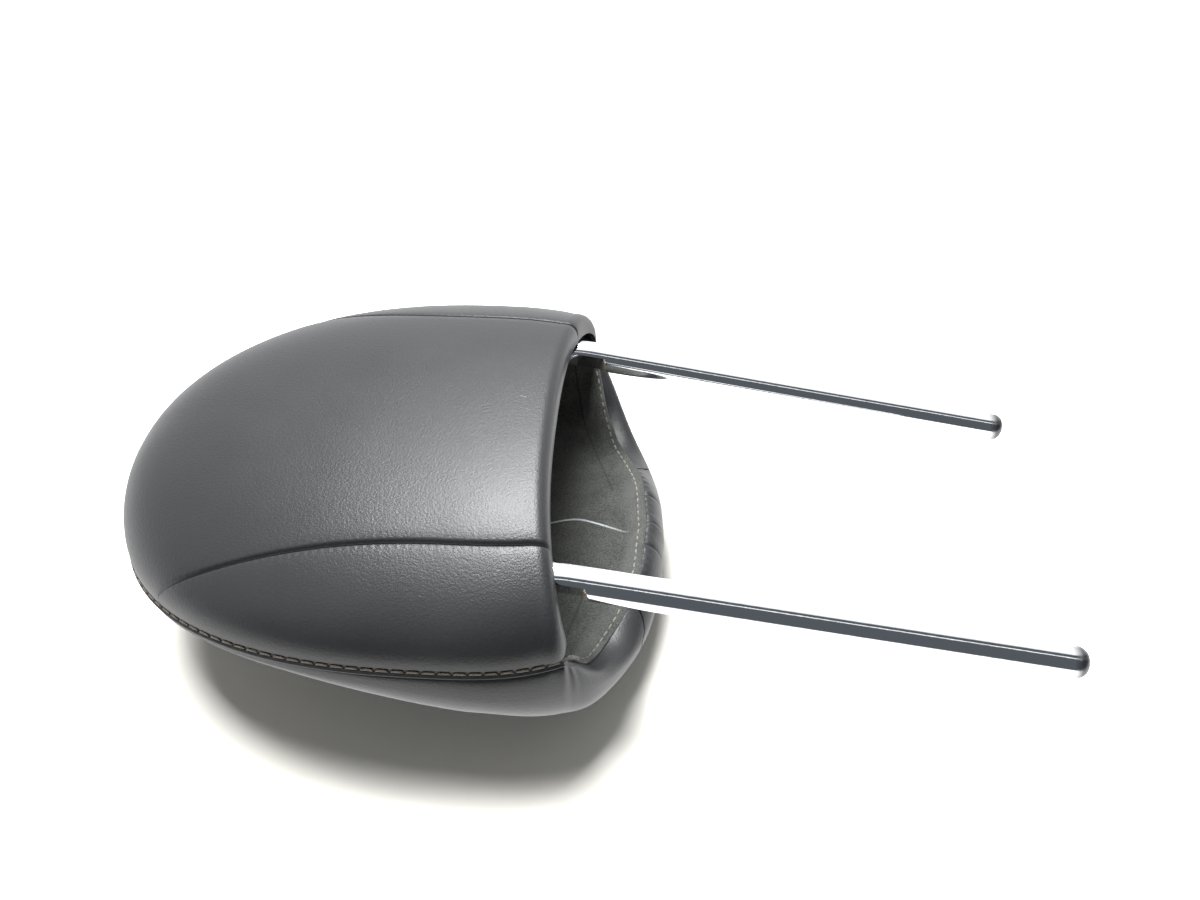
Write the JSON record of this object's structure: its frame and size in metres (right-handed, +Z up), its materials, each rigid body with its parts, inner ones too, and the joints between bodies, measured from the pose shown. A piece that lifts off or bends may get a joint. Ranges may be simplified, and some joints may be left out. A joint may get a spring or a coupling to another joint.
{
  "type": "car headrest",
  "caption": "Padded black leather car headrest with a felt-lined pocket, lying face down, on a tilting bent tube whose two chrome posts carry locking notches.",
  "frame": {"origin": "centre of the bounding box's base, on the surface that the headrest lies on", "axes": "+X from the head end of the cushion towards the tips of the posts, +Y to the wearer's right, +Z up, out of the rear side"},
  "size_m": [0.4244, 0.2318, 0.1163],
  "materials": {
    "chrome_post": "polished",
    "zinc_steel": "zinc plated",
    "white_nylon": "satin",
    "black_plastic": "moulded",
    "grey_foam": "open-cell foam",
    "black_leather": "semi-gloss, fine grain",
    "welt_cord": "semi-gloss",
    "grey_felt": "needled felt"
  },
  "bodies": {
    "cushion": {"pivot_bush_left": "white_nylon", "pivot_bush_right": "white_nylon", "friction_clip_left": "zinc_steel", "friction_clip_right": "zinc_steel", "carrier_rear_shell": "black_plastic", "carrier_front_shell": "black_plastic", "carrier_screw_1": "zinc_steel", "carrier_screw_2": "zinc_steel", "carrier_screw_3": "zinc_steel", "carrier_screw_4": "zinc_steel", "rear_foam": "grey_foam", "front_foam": "grey_foam", "rear_centre_panel": "black_leather", "rear_side_panel_left": "black_leather", "rear_side_panel_right": "black_leather", "front_cover": "black_leather", "lip_border": "black_leather", "main_welt": "welt_cord", "pocket_lining": "grey_felt"},
    "posts": {"post_frame": "chrome_post", "tilt_stop_lug": "zinc_steel"}
  },
  "joints": [
    {"name": "tilt", "type": "hinge", "parent": "cushion", "child": "posts", "pos_m": [-0.10942, 0, 0.0745], "axis": [0, 1, 0], "range_deg": [0, 16]}
  ]
}
